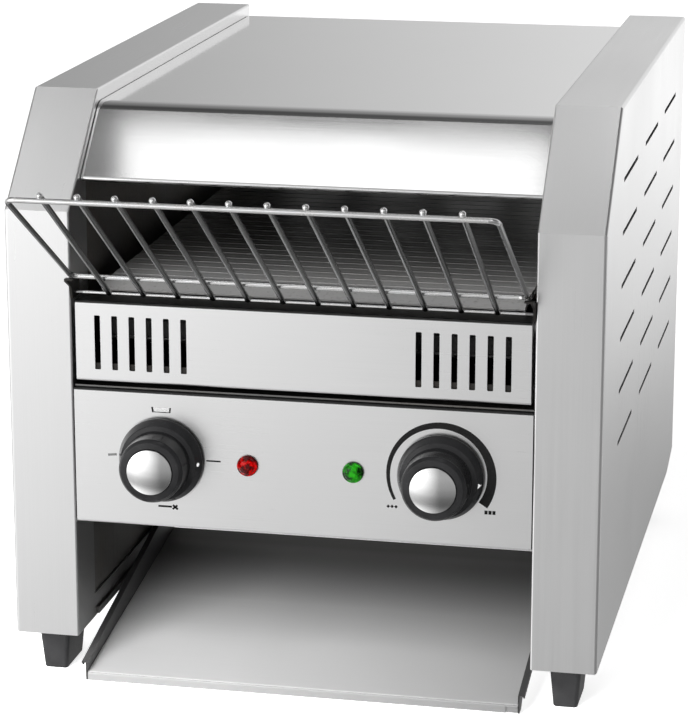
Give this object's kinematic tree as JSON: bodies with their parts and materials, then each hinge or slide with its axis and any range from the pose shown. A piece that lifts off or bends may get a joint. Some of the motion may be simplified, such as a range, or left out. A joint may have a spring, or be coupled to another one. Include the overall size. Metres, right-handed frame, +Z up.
{
  "type": "conveyor toaster",
  "caption": "Countertop conveyor toaster in stainless steel: bread feed rack, slatted belt under a hood, control knobs, pull-out crumb drawer and toast tray below.",
  "frame": {"origin": "centre of the bounding box in plan, at counter level under the feet", "axes": "+Z up, +X to the user's right, the user stands at -Y; bread goes in along +Y and toast comes out along -Y"},
  "size_m": [0.368, 0.6049, 0.3645],
  "materials": {
    "stainless": "satin brushed stainless steel",
    "inner_steel": "mill-finish stainless sheet, heat-dulled",
    "reflector": "bright aluminised sheet",
    "belt_steel": "dull stainless slats",
    "machined_steel": "machined steel",
    "bush_brass": "sintered bronze",
    "rack_chrome": "bright chromed wire",
    "rubber_black": "matt black rubber",
    "screw_steel": "zinc-plated screws",
    "knob_black": "black moulded plastic with a slight sheen",
    "cap_aluminium": "spun brushed aluminium",
    "lens_red": "clear red moulded lens",
    "lens_green": "clear green moulded lens",
    "lamp_body": "black phenolic",
    "board_green": "circuit board with dark parts",
    "element_sheath": "oxidised metal sheath",
    "ceramic": "white steatite",
    "motor_case": "grey painted gearbox and motor can",
    "fan_black": "black glass-filled plastic",
    "gland_black": "black nylon"
  },
  "bodies": {
    "housing": {"side_panel_left": "stainless", "side_panel_right": "stainless", "top_cover": "stainless", "rear_panel": "stainless", "control_panel": "stainless", "side_frame_left": "inner_steel", "side_frame_right": "inner_steel", "base_rail_left": "inner_steel", "base_rail_right": "inner_steel", "control_box_floor": "inner_steel", "heat_shield": "inner_steel", "drawer_runners": "inner_steel", "toast_deflector": "inner_steel", "rear_slide": "inner_steel", "tray_guides": "inner_steel", "motor_bracket": "inner_steel", "rack_brackets": "inner_steel", "upper_reflector": "reflector", "lower_reflector": "reflector", "shaft_bushes": "bush_brass", "foot_front_left": "rubber_black", "foot_front_right": "rubber_black", "foot_rear_left": "rubber_black", "foot_rear_right": "rubber_black", "foot_screws": "screw_steel", "panel_screws": "screw_steel", "pilot_lens_red": "lens_red", "pilot_lens_green": "lens_green", "pilot_lamp_bodies": "lamp_body", "mode_switch": "lamp_body", "speed_potentiometer": "lamp_body", "terminal_block": "lamp_body", "control_board": "board_green", "upper_elements": "element_sheath", "lower_elements": "element_sheath", "element_insulators": "ceramic", "gear_motor": "motor_case", "fan_housing": "fan_black", "cable_gland": "gland_black"},
    "upper_run": {"belt_upper_run": "belt_steel"},
    "lower_run": {"belt_lower_run": "belt_steel"},
    "front_roller": {"front_shaft": "machined_steel", "front_sprockets": "machined_steel", "belt_front_turn": "belt_steel"},
    "rear_roller": {"rear_shaft": "machined_steel", "rear_sprockets": "machined_steel", "belt_rear_turn": "belt_steel", "drive_gear": "machined_steel"},
    "pinion": {"motor_pinion": "machined_steel"},
    "rack": {"feed_rack": "rack_chrome"},
    "tray": {"collecting_tray": "stainless"},
    "crumb_drawer": {"vent_panel": "stainless", "crumb_tray": "inner_steel"},
    "mode_dial": {"mode_knob": "knob_black", "mode_knob_cap": "cap_aluminium", "mode_spindle": "machined_steel"},
    "speed_dial": {"speed_knob": "knob_black", "speed_knob_cap": "cap_aluminium", "speed_spindle": "machined_steel"},
    "fan": {"fan_rotor": "fan_black"}
  },
  "joints": [
    {"name": "belt_travel", "type": "slide", "parent": "housing", "child": "upper_run", "axis": [0, 1, 0], "range_m": [-0.007, 0.007]},
    {"name": "lower_run_travel", "type": "slide", "parent": "housing", "child": "lower_run", "axis": [0, 1, 0], "range_m": [-0.007, 0.007]},
    {"name": "front_roller_turn", "type": "hinge", "parent": "housing", "child": "front_roller", "pos_m": [0, -0.13155, 0.23098], "axis": [1, 0, 0], "continuous": true},
    {"name": "rear_roller_turn", "type": "hinge", "parent": "housing", "child": "rear_roller", "pos_m": [0, 0.20445, 0.23098], "axis": [1, 0, 0], "continuous": true},
    {"name": "pinion_turn", "type": "hinge", "parent": "housing", "child": "pinion", "pos_m": [-0.1509, 0.17444, 0.20159], "axis": [1, 0, 0], "continuous": true},
    {"name": "rack_lift", "type": "hinge", "parent": "housing", "child": "rack", "pos_m": [0, -0.16955, 0.2499], "axis": [-1, 0, 0], "range_deg": [0, 55]},
    {"name": "tray_slide", "type": "slide", "parent": "housing", "child": "tray", "axis": [0, -1, 0], "range_m": [0, 0.14]},
    {"name": "crumb_drawer_slide", "type": "slide", "parent": "housing", "child": "crumb_drawer", "axis": [0, -1, 0], "range_m": [0, 0.25]},
    {"name": "mode_knob_turn", "type": "hinge", "parent": "housing", "child": "mode_dial", "pos_m": [-0.087, -0.18855, 0.1476], "axis": [0, -1, 0], "range_deg": [-180, 90]},
    {"name": "speed_knob_turn", "type": "hinge", "parent": "housing", "child": "speed_dial", "pos_m": [0.087, -0.18855, 0.1476], "axis": [0, -1, 0], "range_deg": [-40, 230]},
    {"name": "fan_spin", "type": "hinge", "parent": "housing", "child": "fan", "pos_m": [0.134, 0.00645, 0.147], "axis": [1, 0, 0], "continuous": true}
  ],
  "couplings": [
    {"joint": "lower_run_travel", "follows": "belt_travel", "ratio": -1},
    {"joint": "front_roller_turn", "follows": "belt_travel", "rad_per_m": -56.1},
    {"joint": "rear_roller_turn", "follows": "belt_travel", "rad_per_m": -56.1},
    {"joint": "pinion_turn", "follows": "belt_travel", "rad_per_m": 140.25}
  ]
}
